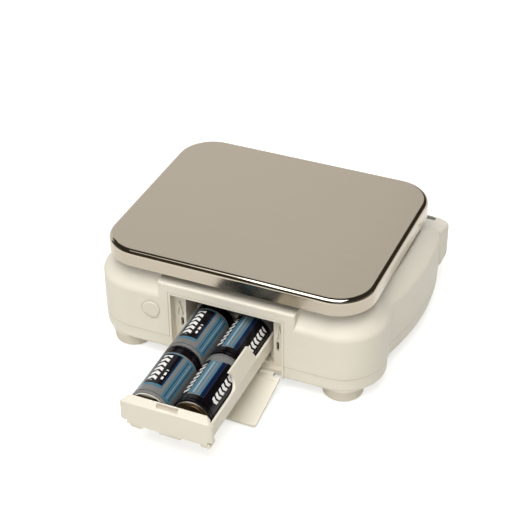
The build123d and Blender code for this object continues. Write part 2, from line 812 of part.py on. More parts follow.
def drawer_wing():
    """The ear on the right wall that leans over the cells and keeps them in."""
    top = drawer_side_top + wing_height
    bottom = drawer_side_top - 3
    x_out = drawer_half_width
    lean = wing_lean * (top - bottom) / wing_height
    profile = make_face(Polyline((x_out, bottom), (x_out, drawer_side_top), (x_out - lean, top),
                                 (x_out - lean - 2.0, top - 0.6),
                                 (x_out - drawer_wall, drawer_side_top - 0.6),
                                 (x_out - drawer_wall, bottom), close=True))
    wing = Pos(0, wing_end_y, 0) * extrude(Plane.XZ * profile, wing_end_y - wing_start_y)
    side = make_face(Polyline((wing_start_y - 1, bottom - 1), (wing_end_y + 1, bottom - 1),
                              (wing_end_y + 1, drawer_side_top), (wing_end_y - wing_slant, top + 1),
                              (wing_start_y - 1, top + 1), close=True))
    keep = Pos(20, 0, 0) * extrude(Plane.YZ * side, 40)
    scoop = rod_x(20, 60, wing_start_y, drawer_side_top + wing_height * 0.55, wing_height * 0.55)
    return (wing & keep) - scoop


def d_cell(x, nub_y, way):
    """A D cell whose nub tip is at nub_y and whose base lies the given way along Y."""
    can = Cylinder(cell_r, cell_body, align=(Align.CENTER, Align.CENTER, Align.MIN))
    can = chamfer(can.edges().filter_by(GeomType.CIRCLE), cell_edge)
    nub = Pos(0, 0, -cell_nub) * Cylinder(cell_nub_r, cell_nub + 0.5,
                                          align=(Align.CENTER, Align.CENTER, Align.MIN))
    ring = Cylinder(cell_r + 1, 1.2) - Cylinder(cell_r - cell_groove, 1.2)
    can = can + nub - Pos(0, 0, 2.6) * ring - Pos(0, 0, cell_body - 2.6) * ring
    base = Cylinder(cell_r - 3.4, 0.7) - Cylinder(cell_r - 6.0, 0.7)
    can = can - Pos(0, 0, cell_body - 0.3) * base
    top = Cylinder(cell_r - 2.2, 0.9) - Cylinder(cell_nub_r + 3.0, 0.9)
    can = can - Pos(0, 0, 0.4) * top
    return Pos(x, nub_y + way * cell_nub, cell_axis_z) * Rot(-90 * way, 0, 0) * can


cell_step = cell_body + cell_nub
seat_front = drawer_inner_front + contact_thickness + 0.1
seat_rear = drawer_inner_rear - contact_thickness - 0.1
cells = {
    "battery_front_left": (-cell_x, seat_front, 1),
    "battery_rear_left": (-cell_x, seat_front + cell_step, 1),
    "battery_front_right": (cell_x, seat_rear - cell_step, -1),
    "battery_rear_right": (cell_x, seat_rear, -1),
}


def front_contact():
    """The plate in the drawer front that joins the two columns."""
    y0, y1 = drawer_inner_front, drawer_inner_front + contact_thickness
    strap = block(-cell_x, cell_x, y0, y1, cell_axis_z + 0.5, cell_axis_z + strap_rise)
    return strap + both_sides(rod_y(cell_x, y0, y1, cell_axis_z, contact_pad_r))


def rear_contacts():
    """Two round plates inside the drawer's rear wall."""
    made = []
    for x in (-cell_x, cell_x):
        made.append(rod_y(x, drawer_inner_rear - contact_thickness, drawer_inner_rear,
                          cell_axis_z, contact_pad_r))
    return Compound(children=made)


def leaf_spring(x, y0, y1):
    """A bowed strip whose ends stand on the contact plate and whose crown meets the cell."""
    inner_x = leaf_span - leaf_sheet
    inner_y = y1 - leaf_sheet if y1 > y0 else y1 + leaf_sheet
    outer = ThreePointArc((x - leaf_span, y0), (x, y1), (x + leaf_span, y0))
    inner = ThreePointArc((x + inner_x, y0), (x, inner_y), (x - inner_x, y0))
    strip = make_face([outer, Line(outer @ 1, inner @ 0), inner, Line(inner @ 1, outer @ 0)])
    return Pos(0, 0, cell_axis_z - leaf_height / 2) * extrude(strip, leaf_height, dir=(0, 0, 1))


def cell_springs():
    front = leaf_spring(cell_x, drawer_inner_front + contact_thickness + spring_gap,
                        seat_rear - 2 * cell_step - spring_gap)
    rear = leaf_spring(-cell_x, drawer_inner_rear - contact_thickness - spring_gap,
                       seat_front + 2 * cell_step + spring_gap)
    return Compound(children=[front, rear])


def bay_contacts():
    """Two leaf contacts on the bay's rear wall that the closed drawer meets."""
    made = []
    for x in (-cell_x, cell_x):
        x0, x1 = x - leaf_half_width, x + leaf_half_width
        leaf = block(x0, x1, bay_rear - contact_thickness, bay_rear,
                     cell_axis_z - leaf_half_height, cell_axis_z + leaf_half_height)
        bow = rod_x(x0, x1, bay_rear - 0.2, cell_axis_z, 1.2) & block(
            x0, x1, bay_rear - 1.1, bay_rear, cell_axis_z - 3, cell_axis_z + 3)
        made.append(leaf + bow)
    return Compound(children=made)


# Weighing mechanism

def bridge():
    """A pressed steel hat over the bay that carries the load cell."""
    half_w = bridge_width / 2
    x_in = bridge_half_length - bridge_sheet
    hat = block(-bridge_half_length, bridge_half_length, -half_w, half_w,
                bridge_z, bridge_z + bridge_sheet)
    leg = block(x_in, bridge_half_length, -half_w, half_w, bridge_base_z, bridge_z + bridge_sheet)
    foot = block(x_in, bridge_half_length + bridge_foot, -half_w, half_w,
                 bridge_base_z, bridge_base_z + bridge_sheet)
    form = hat + both_sides(leg) + both_sides(foot)
    bends = [e for e in form.edges().filter_by(Axis.Y)
             if abs(abs(e.center().X) - bridge_half_length) < 0.01
             and e.center().Z > bridge_z + bridge_sheet - 0.01]
    form = fillet(bends, bridge_sheet)
    slot = block(x_in - 1, bridge_half_length + 1, -5, 5, bridge_base_z + 12, bridge_z - 12)
    form = form - both_sides(slot)
    for y in bridge_foot_y:
        form = form - both_sides(rod(bridge_screw_x, y, bridge_base_z - 1,
                                     bridge_base_z + bridge_sheet + 1, screw_r + 0.3))
    for x in (-beam_screw_near, -beam_screw_far):
        form = form - rod(x, 0, bridge_z - 1, bridge_z + bridge_sheet + 1, 2.0 + screw_gap)
        form = form - Pos(x, 0, bridge_z + 0.6) * Cone(4.2, 2.1, 1.2)
        form = form - rod(x, 0, bridge_z - 1, bridge_z + 0.01, 4.2)
    form = form - rod(post_x, 0, bridge_z - 1, bridge_z + bridge_sheet + 1, 2.0 + 0.05)
    return form


def load_cell():
    """The bending beam, thinned by two round windows joined into one."""
    half = cell_beam_length / 2
    side = cell_beam_side / 2
    mid = (beam_low + beam_high) / 2
    beam = block(-half, half, -side, side, beam_low, beam_high)
    for x in (-beam_window_offset, beam_window_offset):
        beam = beam - rod_y(x, -side - 1, side + 1, mid, beam_window_r)
    beam = beam - block(-beam_window_offset, beam_window_offset, -side - 1, side + 1,
                        mid - 2.0, mid + 2.0)
    for x in (beam_screw_near, beam_screw_far):
        beam = beam - rod(x, 0, mid, beam_high + 1, 2.0 + screw_gap)
        beam = beam - rod(-x, 0, beam_low - 1, mid, 2.0 + screw_gap)
    return beam


def load_cell_spacer():
    side = cell_beam_side / 2
    plate = block(-cell_beam_length / 2, -cell_beam_length / 2 + beam_seat, -side, side,
                  bridge_z + bridge_sheet, beam_low)
    for x in (-beam_screw_near, -beam_screw_far):
        plate = plate - rod(x, 0, bridge_z, beam_low + 1, 2.0 + screw_gap)
    return plate


def load_cell_screws():
    """Countersunk screws up through the bridge into the beam's fixed end."""
    made = []
    for x in (-beam_screw_near, -beam_screw_far):
        body = rod(x, 0, bridge_z + 0.05, beam_low + 5, 2.0)
        body += Pos(x, 0, bridge_z + 0.6) * Cone(3.9, 2.0, 1.1)
        made.append(body)
    return Compound(children=made)


def overload_stop():
    """A set screw in the bridge that the beam's free end meets past full load."""
    top = beam_low - stop_screw_gap
    return rod(post_x, 0, bridge_z - 1.2, top, 2.0) + rod(post_x, 0, bridge_z - 1.2, bridge_z - 0.05, 3.4)


def support_spacer():
    """The block that stands on the beam's free end and reaches through the deck."""
    side = cell_beam_side / 2 - 0.2
    post = block(post_x - post_half_x, post_x + post_half_x, -side, side, beam_high, support_low)
    for x in (beam_screw_near, beam_screw_far):
        post = post - rod(x, 0, beam_high - 1, support_low + 1, 2.0 + screw_gap)
    return post


def platter_support():
    """A cast cross with ribs under four pad seats."""
    hub_top = support_low + support_hub_thickness
    hub = block(-30, post_x + post_half_x + 6, -20, 20, support_low, hub_top)
    form = fillet(hub.edges().filter_by(Axis.Z), 6.0)
    length = hypot(support_arm_x, support_arm_y)
    lean = degrees(atan2(support_arm_y, support_arm_x))
    for sign in (1, -1):
        arm = Box(2 * length, support_arm_width, support_hub_thickness)
        rib = Box(2 * length - 8, support_rib, pad_low - support_low)
        form += Pos(0, 0, support_low + support_hub_thickness / 2) * Rot(0, 0, sign * lean) * arm
        form += Pos(0, 0, (support_low + pad_low) / 2) * Rot(0, 0, sign * lean) * rib
    for x, y in pad_places:
        seat = rod(x, y, support_low, pad_low + pad_seat, pad_r + 1.5)
        form = form + seat - rod(x, y, pad_low, pad_low + 5, pad_r + 0.1)
    for x in (beam_screw_near, beam_screw_far):
        form = form - rod(x, 0, support_low - 1, hub_top + 10, 2.0 + screw_gap)
        form = form - rod(x, 0, hub_top, hub_top + 10, 4.0)
    return form


pad_places = [(sx * support_arm_x, sy * support_arm_y) for sx in (-1, 1) for sy in (-1, 1)]


def support_screws():
    hub_top = support_low + support_hub_thickness
    made = [screw(x, 0, hub_top, beam_high - 4.0, 2.0, 3.6, 2.4)
            for x in (beam_screw_near, beam_screw_far)]
    return Compound(children=made)


def platter_pads():
    return Compound(children=[rod(x, y, pad_low, pad_low + pad_thickness, pad_r) for x, y in pad_places])


def platter():
    """A pressed tray: rounded outside less the same form set in by the sheet."""
    def form(inset, z0):
        shape = RectangleRounded(platter_width - 2 * inset, platter_depth - 2 * inset,
                                 platter_corner_r - inset)
        solid = Pos(0, 0, z0) * extrude(shape, platter_top - inset - z0)
        return fillet(edges_at(solid, platter_top - inset), platter_edge_r - inset)
    return form(0, platter_top - platter_skirt) - form(platter_sheet, platter_top - platter_skirt - 1)


# Feet

def foot(x, y):
    """A round rubber foot with a recess for its screw."""
    cone = Pos(x, y, foot_boss_z / 2) * Cone(foot_r - foot_taper, foot_r, foot_boss_z)
    cone = chamfer(cone.edges().filter_by(GeomType.CIRCLE).group_by(Axis.Z)[0], foot_edge)
    cone = cone - rod(x, y, -1, 5.0, 5.0) - rod(x, y, 0, foot_boss_z + 1, foot_screw_r + screw_gap)
    return cone


def foot_screws():
    made = [screw(x, y, 5.0, foot_boss_z + foot_screw_length - 1, foot_screw_r, 4.0, 2.6)
            for x in (-foot_x, foot_x) for y in (foot_rear_y, foot_front_y)]
    return Compound(children=made)


# Display, keys and board

def display_panel():
    """The plate in the head's top with its window and key openings."""
    plate = panel_form(panel_rim + 0.2, floor_top, panel_top, 0.2, panel_half_length - 0.2,
                       panel_corner_r - 0.2)
    plate = plate - plate_on_slope(window_x, lcd_v, window_length, window_height,
                                   floor_top - 1, panel_top + 1, 2.0)
    seat = plate_on_slope(window_x, lcd_v, window_length + 2 * window_border,
                          window_height + 2 * window_border, floor_top - 1,
                          floor_top + window_thickness + 0.05)
    plate = plate - seat
    for x in key_x:
        plate = plate - plate_on_slope(x, key_v(x), key_length + 2 * key_clearance,
                                       key_height + 2 * key_clearance, floor_top - 1,
                                       panel_top + 1, key_corner_r)
    return plate


def display_window():
    return plate_on_slope(window_x, lcd_v, window_length + 2 * window_border - 0.2,
                          window_height + 2 * window_border - 0.2, floor_top,
                          floor_top + window_thickness)


def lcd_module():
    return plate_on_slope(window_x, lcd_v, lcd_length, lcd_height, board_top, floor_top - 0.1)


key_low = floor_under - 0.2 - key_flange
mat_dome_top = key_low - key_travel - dome_gap


def key(x):
    """A key with a flange that keeps it in under the panel's floor."""
    cap = plate_on_slope(x, key_v(x), key_length, key_height, key_low, panel_top + key_proud,
                         key_corner_r)
    crown = cap.edges().filter_by(lambda e: slope_height(e) > panel_top + key_proud - 0.01)
    cap = fillet(crown, 0.5)
    flange = plate_on_slope(x, key_v(x), key_length + 3.0, key_height + 2.0, key_low,
                            key_low + key_flange, 1.0)
    return cap + flange


def key_mat():
    """Rubber mat on the board with a dome below each key."""
    left = min(key_x[:3]) - key_length / 2 - 2
    right = max(key_x[:3]) + key_length / 2 + 2
    made = []
    for x0, x1, xs in ((left, right, key_x[:3]), (key_x[3] - 8, key_x[3] + 8, key_x[3:])):
        v = key_v((x0 + x1) / 2)
        sheet = plate_on_slope((x0 + x1) / 2, v, x1 - x0, mat_height, board_top, board_top + mat_thickness)
        for x in xs:
            dome = Cone(dome_r, dome_top_r, mat_dome_top - board_top - mat_thickness + 0.2)
            place = (board_top + mat_thickness - 0.2 + mat_dome_top) / 2
            sheet = sheet + slope_plane * Pos(x, v, place) * dome
        made.append(sheet)
    return Compound(children=made)


def main_board():
    """The circuit board, cut to the bow of the head, with a few parts on its back."""
    low = board_top - board_thickness
    board = panel_form(case_wall + 1.0, low, board_top, 1.0, board_half_length, 2.0)
    for x, v, size, tall in ((-20, 14, 14, 2.0), (8, 14, 9, 1.6), (62, 12, 7, 3.0)):
        board = board + plate_on_slope(x, v, size, size, low - tall, low + 0.1)
    for x, y in board_screw_places:
        board = board - slope_plane * Pos(x, y, (low + board_top) / 2) * Cylinder(
            screw_r + 0.3, board_thickness + 2)
    return board


board_screw_places = ((-62.0, 13.5), (28.5, 14.0), (87.0, 11.5))


def board_posts():
    """Posts under the panel's floor that the board is screwed to."""
    made = None
    for x, v in board_screw_places:
        post = slope_plane * Pos(x, v, (board_top + floor_under + 0.2) / 2) * Cylinder(
            3.0, floor_under + 0.2 - board_top)
        post = post - slope_plane * Pos(x, v, board_top) * Cylinder(screw_r + screw_gap, 7.0)
        made = post if made is None else made + post
    return made


def board_screws():
    low = board_top - board_thickness
    made = []
    for x, v in board_screw_places:
        shank = Pos(x, v, low + 2.4) * Cylinder(screw_r, 4.8)
        head = Pos(x, v, low - 1.0) * Cylinder(screw_head_r, 2.0)
        made.append(slope_plane * (shank + head))
    return Compound(children=made)


# Jack and its cap

def dc_jack():
    rear = case_rear_y + case_wall
    half = jack_body / 2
    body = block(jack_x - half, jack_x + half, rear + 0.3, rear + jack_depth, jack_z - half, jack_z + half)
    body = body - rod_y(jack_x, rear - 1, rear + 10, jack_z, jack_cap_plug_r + 0.15)
    return body + rod_y(jack_x, rear + 5, rear + 11, jack_z, 1.0)


def jack_cap():
    """A soft cap in the dish with a short plug into the jack."""
    top = case_rear_y + jack_dish_depth
    cap = rod_y(jack_x, top - 1.6, top, jack_z, jack_cap_r)
    rim = cap.edges().filter_by(GeomType.CIRCLE).sort_by(Axis.Y)[0]
    cap = fillet(rim, 1.0)
    return cap + rod_y(jack_x, top, top + 5.0, jack_z, jack_cap_plug_r)


# Fasteners

def case_screws():
    made = []
    for x, y in case_screw_places:
        for side in (-1, 1):
            made.append(screw(side * x, y, case_bottom + 2, case_screw_tip))
    return Compound(children=made)


def bridge_screws():
    made = []
    for y in bridge_foot_y:
        for side in (-1, 1):
            made.append(screw(side * bridge_screw_x, y, bridge_base_z + bridge_sheet,
                              bridge_base_z - 5.0))
    return Compound(children=made)


def bay_screws():
    made = []
    for x, y in bay_screw_places:
        for side in (-1, 1):
            made.append(screw(side * x, y, case_bottom + 2, case_bottom + 2 + bay_screw_length))
    return Compound(children=made)


footprint_shift = -(head_front_y + drawer_front_y) / 2


def write(name, shape):
    """Move a piece into the part's frame and write it."""
    placed = Pos(0, footprint_shift, 0) * shape
    placed.label = name
    export_step(placed, f"parts/{name}.step")


def main():
    os.makedirs("parts", exist_ok=True)
    nodes = {
        "upper_case": upper_case() + board_posts(),
        "lower_case": lower_case(),
        "battery_bay": battery_bay(),
        "battery_door": battery_door(),
        "door_hinge_pin": door_hinge_pin(),
        "battery_drawer": battery_drawer(),
        "drawer_front_contact": front_contact(),
        "drawer_rear_contacts": rear_contacts(),
        "cell_springs": cell_springs(),
        "bay_contacts": bay_contacts(),
        "platter": platter(),
        "platter_pads": platter_pads(),
        "platter_support": platter_support(),
        "support_screws": support_screws(),
        "support_spacer": support_spacer(),
        "load_cell": load_cell(),
        "load_cell_spacer": load_cell_spacer(),
        "load_cell_screws": load_cell_screws(),
        "overload_stop": overload_stop(),
        "load_cell_bridge": bridge(),
        "bridge_screws": bridge_screws(),
        "bay_screws": bay_screws(),
        "case_screws": case_screws(),
        "foot_screws": foot_screws(),
        "display_panel": display_panel(),
        "display_window": display_window(),
        "lcd_module": lcd_module(),
        "key_mat": key_mat(),
        "main_board": main_board(),
        "board_screws": board_screws(),
        "dc_jack": dc_jack(),
        "jack_cap": jack_cap(),
    }
    for name, (x, nub_y, way) in cells.items():
        nodes[name] = d_cell(x, nub_y, way)
    for name, x in zip(key_names, key_x):
        nodes[name] = key(x)
    for name, x, y in (("foot_rear_left", -foot_x, foot_rear_y), ("foot_rear_right", foot_x, foot_rear_y),
                       ("foot_front_left", -foot_x, foot_front_y), ("foot_front_right", foot_x, foot_front_y)):
        nodes[name] = foot(x, y)
    for name, shape in nodes.items():
        write(name, shape)
    print(f"footprint shift {footprint_shift:.2f}, bay rear {bay_rear:.2f}, drawer rear {drawer_rear_y:.2f}")


main()
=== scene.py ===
import math

import bpy
from mathutils import Matrix, Vector

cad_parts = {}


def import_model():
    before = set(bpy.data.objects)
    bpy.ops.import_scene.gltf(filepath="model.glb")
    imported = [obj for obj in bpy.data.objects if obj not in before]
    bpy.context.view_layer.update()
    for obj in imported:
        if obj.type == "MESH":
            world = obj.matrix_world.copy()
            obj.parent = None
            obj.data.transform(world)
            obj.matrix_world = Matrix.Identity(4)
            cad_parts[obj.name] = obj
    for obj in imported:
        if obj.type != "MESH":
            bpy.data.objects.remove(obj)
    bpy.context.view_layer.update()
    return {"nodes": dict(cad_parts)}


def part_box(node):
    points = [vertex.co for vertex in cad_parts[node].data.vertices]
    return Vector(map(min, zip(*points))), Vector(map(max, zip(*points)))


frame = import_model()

nodes = frame["nodes"]
MM = 0.001

# Camera: fitted to the platter's outline, the mouth of the bay and the cells
CAMERA_PLACE = Vector((0.3866, -0.8695, 0.7538))
CAMERA_AZIMUTH = 23.43
CAMERA_ELEVATION = 35.46
CAMERA_ROLL = -0.45
CAMERA_FOCUS_PX = 1413.2
PHOTO_WIDTH_PX = 527
SENSOR = 36.0

# Colours, as the surface shows them in plain light (linear)
IVORY = (0.792, 0.745, 0.638)
IVORY_DRAWER = (0.790, 0.740, 0.632)
# Lighter than the case's ivory: painted light on the door, which lies in shade by the drawer
IVORY_DOOR_PAINTED_LIGHT = (0.850, 0.805, 0.700)
FOOT_STONE = (0.700, 0.640, 0.530)
STEEL_WARM = (0.490, 0.437, 0.358)
ALUMINIUM = (0.560, 0.560, 0.550)
ZINC = (0.480, 0.480, 0.460)
NICKEL = (0.620, 0.600, 0.560)
# Painted shade: the cans' steel ends, darker than bare steel
CAN_STEEL_PAINTED_SHADE = (0.300, 0.275, 0.235)
BRONZE = (0.300, 0.200, 0.110)
CAN_BRONZE = (0.420, 0.330, 0.225)
# Painted highlight round the crimp of the cans' ends
CRIMP_PAINTED_HIGHLIGHT = (0.800, 0.770, 0.710)
PANEL_BLUE_GREY = (0.165, 0.195, 0.185)
KEY_GREY = (0.560, 0.545, 0.500)
LCD_GREEN = (0.330, 0.380, 0.300)
BOARD_GREEN = (0.012, 0.085, 0.035)
RUBBER_BLACK = (0.020, 0.020, 0.020)
MAT_GREY = (0.300, 0.300, 0.290)
FILM_GREY = (0.185, 0.186, 0.182)
FILM_BLUE = (0.070, 0.170, 0.240)
FILM_PALE = (0.300, 0.370, 0.400)
FILM_NAVY = (0.004, 0.012, 0.045)
FILM_BLACK = (0.004, 0.003, 0.005)
FILM_WHITE = (0.820, 0.810, 0.790)


# Node trees

class Tree:
    """A short way to place and link nodes in one node tree."""

    def __init__(self, tree):
        self.tree = tree

    def add(self, kind, **settings):
        node = self.tree.nodes.new(kind)
        for key, value in settings.items():
            setattr(node, key, value)
        return node

    def set(self, socket, value):
        """Link an output to the socket, or write a plain value on it."""
        if isinstance(value, bpy.types.NodeSocket):
            self.tree.links.new(value, socket)
        elif isinstance(value, (tuple, list)) and len(value) == 3 and socket.type == "RGBA":
            socket.default_value = (*value, 1.0)
        else:
            socket.default_value = value

    def math(self, operation, a, b=0.0, c=None, clamp=False):
        node = self.add("ShaderNodeMath", operation=operation, use_clamp=clamp)
        self.set(node.inputs[0], a)
        self.set(node.inputs[1], b)
        if c is not None:
            self.set(node.inputs[2], c)
        return node.outputs[0]

    def mix(self, factor, a, b, blend="MIX"):
        node = self.add("ShaderNodeMix", data_type="RGBA", blend_type=blend)
        self.set(node.inputs[0], factor)
        self.set(node.inputs[6], a)
        self.set(node.inputs[7], b)
        return node.outputs[2]

    def between(self, value, low, high, soft):
        """1 between low and high, with soft edges."""
        up = self.smooth(value, low - soft, low + soft)
        down = self.smooth(value, high - soft, high + soft)
        return self.math("SUBTRACT", up, down, clamp=True)

    def smooth(self, value, low, high, out_low=0.0, out_high=1.0):
        """A soft step from out_low at low to out_high at high; low may be the larger number."""
        node = self.add("ShaderNodeMapRange", interpolation_type="SMOOTHSTEP")
        self.set(node.inputs["Value"], value)
        limits = (("From Min", low), ("From Max", high), ("To Min", out_low), ("To Max", out_high))
        for name, number in limits:
            self.set(node.inputs[name], number)
        return node.outputs["Result"]

    def place(self):
        return self.add("ShaderNodeTexCoord").outputs["Object"]

    def turned(self, vector, degrees):
        """The vector turned about X."""
        node = self.add("ShaderNodeMapping", vector_type="POINT")
        self.set(node.inputs["Vector"], vector)
        node.inputs["Rotation"].default_value = (math.radians(degrees), 0, 0)
        return node.outputs["Vector"]

    def noise(self, vector, scale, detail=3.0, roughness=0.5):
        node = self.add("ShaderNodeTexNoise")
        self.set(node.inputs["Vector"], vector)
        for name, number in (("Scale", scale), ("Detail", detail), ("Roughness", roughness)):
            self.set(node.inputs[name], number)
        return node.outputs["Fac"]

    def parts(self, vector):
        node = self.add("ShaderNodeSeparateXYZ")
        self.set(node.inputs[0], vector)
        return node.outputs

    def bump(self, height, strength, distance):
        node = self.add("ShaderNodeBump")
        self.set(node.inputs["Strength"], strength)
        self.set(node.inputs["Distance"], distance)
        self.set(node.inputs["Height"], height)
        return node.outputs["Normal"]

    def group(self, tree, **inputs):
        """Place a node group; an input's name is written with _ for each space."""
        node = self.add("ShaderNodeGroup")
        node.node_tree = tree
        for name, value in inputs.items():
            self.set(node.inputs[name.replace("_", " ")], value)
        return node.outputs


def new_group(name, inputs, outputs):
    """A shader node group with named inputs and outputs, and what its own nodes link to."""
    tree = bpy.data.node_groups.new(name, "ShaderNodeTree")
    for label, kind, value in inputs:
        socket = tree.interface.new_socket(label, in_out="INPUT", socket_type=kind)
        if value is not None:
            socket.default_value = value
    for label, kind in outputs:
        tree.interface.new_socket(label, in_out="OUTPUT", socket_type=kind)
    t = Tree(tree)
    source = t.add("NodeGroupInput")
    sink = t.add("NodeGroupOutput")
    return t, source.outputs, sink.inputs


PLASTIC_GRAIN = 2600.0
TONE_WAVES = 14.0
DUSTY_BELOW = 70.0 * MM


def spark_grain():
    """Fine spark-eroded grain of a moulding tool, with slow waves of tone."""
    t, given, out = new_group(
        "spark grain",
        (("Place", "NodeSocketVector", None), ("Grain per metre", "NodeSocketFloat", PLASTIC_GRAIN),
         ("Tone", "NodeSocketFloat", 0.05)),
        (("Height", "NodeSocketFloat"), ("Tone factor", "NodeSocketFloat")),
    )
    fine = t.noise(given["Place"], given["Grain per metre"], detail=2.0, roughness=0.55)
    cells = t.add("ShaderNodeTexVoronoi", feature="SMOOTH_F1")
    t.set(cells.inputs["Vector"], given["Place"])
    t.set(cells.inputs["Scale"], given["Grain per metre"])
    t.set(out["Height"], t.math("ADD", fine, cells.outputs["Distance"]))
    slow = t.noise(given["Place"], TONE_WAVES, detail=4.0, roughness=0.6)
    swing = t.math("MULTIPLY", t.math("SUBTRACT", slow, 0.5), given["Tone"])
    t.set(out["Tone factor"], t.math("ADD", swing, 1.0))
    return t.tree


def brush_lines():
    """Long fine lines along X, as a belt leaves them on sheet steel."""
    t, given, out = new_group(
        "brush lines",
        (("Place", "NodeSocketVector", None), ("Length", "NodeSocketFloat", 18.0),
         ("Fineness", "NodeSocketFloat", 2400.0)),
        (("Height", "NodeSocketFloat"), ("Streak", "NodeSocketFloat")),
    )
    stretch = t.add("ShaderNodeCombineXYZ")
    x, y, z = t.parts(given["Place"])
    t.set(stretch.inputs[0], t.math("MULTIPLY", x, given["Length"]))
    t.set(stretch.inputs[1], t.math("MULTIPLY", y, given["Fineness"]))
    t.set(stretch.inputs[2], t.math("MULTIPLY", z, given["Fineness"]))
    t.set(out["Height"], t.noise(stretch.outputs[0], 1.0, detail=3.0, roughness=0.6))
    t.set(out["Streak"], t.noise(stretch.outputs[0], 0.35, detail=2.0, roughness=0.5))
    return t.tree


def handling_dust():
    """Soft patches where hands and air leave a slightly duller skin, stronger low down."""
    t, given, out = new_group(
        "handling dust",
        (("Place", "NodeSocketVector", None), ("Amount", "NodeSocketFloat", 0.2),
         ("Patch per metre", "NodeSocketFloat", 30.0)),
        (("Mask", "NodeSocketFloat"),),
    )
    patches = t.noise(given["Place"], given["Patch per metre"], detail=5.0, roughness=0.65)
    height = t.parts(given["Place"])[2]
    low = t.smooth(height, DUSTY_BELOW, 0.0, 0.4, 1.0)
    spread = t.smooth(patches, 0.45, 0.7)
    t.set(out["Mask"], t.math("MULTIPLY", t.math("MULTIPLY", spread, low), given["Amount"]))
    return t.tree


SPARK_GRAIN = spark_grain()
BRUSH_LINES = brush_lines()
HANDLING_DUST = handling_dust()


def new_material(name):
    """A named material with its tree, its shader and a Tree to build it with."""
    material = bpy.data.materials.new(name)
    material.use_nodes = True
    t = Tree(material.node_tree)
    shader = material.node_tree.nodes["Principled BSDF"]
    return material, t, shader.inputs


def scaled(colour, factor):
    return tuple(channel * factor for channel in colour)


# Materials

DUST_SHADE = 0.86
DUST_DULLING = 0.35
GRAIN_STRENGTH = 0.35
PLASTIC_GLOSS = 0.42
PARTING_HEIGHT = 25.2 * MM
SEAM_HALF = 0.28 * MM
SEAM_SOFT = 0.12 * MM
SEAM_STRENGTH = 0.7
NOTCH_HALF = 9.2 * MM
NOTCH_FLOOR = 48.2 * MM
NOTCH_BACK = -160.9 * MM
NOTCH_STRENGTH = 0.85
# Painted shade in the case's parting line
SEAM_PAINTED_SHADE = (0.300, 0.265, 0.190)
# Painted shade in the drawer's finger notch
NOTCH_PAINTED_SHADE = (0.560, 0.490, 0.390)


def painted_seam_shade(t, place):
    """Mask of the parting line round the case, where painted shade darkens the seam."""
    height = t.parts(place)[2]
    line = t.between(height, PARTING_HEIGHT - SEAM_HALF, PARTING_HEIGHT + SEAM_HALF, SEAM_SOFT)
    return t.math("MULTIPLY", line, SEAM_STRENGTH)


def painted_notch_shade(t, place):
    """Mask of the finger notch in the drawer's lip, where painted shade darkens the recess."""
    x, y, z = t.parts(place)
    across = t.between(x, -NOTCH_HALF, NOTCH_HALF, 0.2 * MM)
    above = t.smooth(z, NOTCH_FLOOR - 0.25 * MM, NOTCH_FLOOR - 0.05 * MM)
    ahead = t.smooth(y, NOTCH_BACK + 0.3 * MM, NOTCH_BACK + 0.1 * MM)
    inside = t.math("MULTIPLY", across, above)
    return t.math("MULTIPLY", inside, t.math("MULTIPLY", ahead, NOTCH_STRENGTH))


def moulded(name, colour, roughness, grain=PLASTIC_GRAIN, depth=0.04 * MM, tone=0.05, dust=0.15,
            coat=0.0, painted_shade_at=None, painted_shade_tone=SEAM_PAINTED_SHADE):
    """Moulded plastic or rubber: spark-eroded grain, a little dust and, if asked, one place of painted
    shade.
    """
    material, t, shader = new_material(name)
    place = t.place()
    grain_out = t.group(SPARK_GRAIN, Place=place, Grain_per_metre=grain, Tone=tone)
    mask = t.group(HANDLING_DUST, Place=place, Amount=dust)["Mask"]
    toned = t.mix(1.0, colour, grain_out["Tone factor"], "MULTIPLY")
    skin = t.mix(mask, toned, scaled(colour, DUST_SHADE))
    # Painted shade: the given mask darkens the skin towards the shade tone
    if painted_shade_at is not None:
        skin = t.mix(painted_shade_at(t, place), skin, painted_shade_tone)
    t.set(shader["Base Color"], skin)
    dulled = t.math("MULTIPLY", mask, DUST_DULLING)
    t.set(shader["Roughness"], t.math("ADD", dulled, roughness, clamp=True))
    t.set(shader["Normal"], t.bump(grain_out["Height"], GRAIN_STRENGTH, depth))
    shader["Specular IOR Level"].default_value = PLASTIC_GLOSS
    shader["Coat Weight"].default_value = coat
    return material


def streaked(t, colour, lines, swing):
    """A metal's colour, a little lighter and darker along its brush lines."""
    streak = t.smooth(lines["Streak"], 0.3, 0.7, 1.0 - swing, 1.0 + swing)
    return t.mix(1.0, colour, streak, "MULTIPLY")


def sheet_metal(name, colour, roughness, fineness=2400.0, depth=0.02 * MM):
    """Brushed or rolled metal with streaks along X."""
    material, t, shader = new_material(name)
    place = t.place()
    lines = t.group(BRUSH_LINES, Place=place, Fineness=fineness)
    mask = t.group(HANDLING_DUST, Place=place, Amount=0.25, Patch_per_metre=18.0)["Mask"]
    t.set(shader["Base Color"], streaked(t, colour, lines, 0.10))
    t.set(shader["Roughness"], t.math("ADD", t.math("MULTIPLY", mask, 0.2), roughness, clamp=True))
    t.set(shader["Normal"], t.bump(lines["Height"], 0.25, depth))
    shader["Metallic"].default_value = 1.0
    return material


CAST_GRAIN = 1500.0
CAST_SPREAD = 0.08
CAST_DEPTH = 0.06 * MM


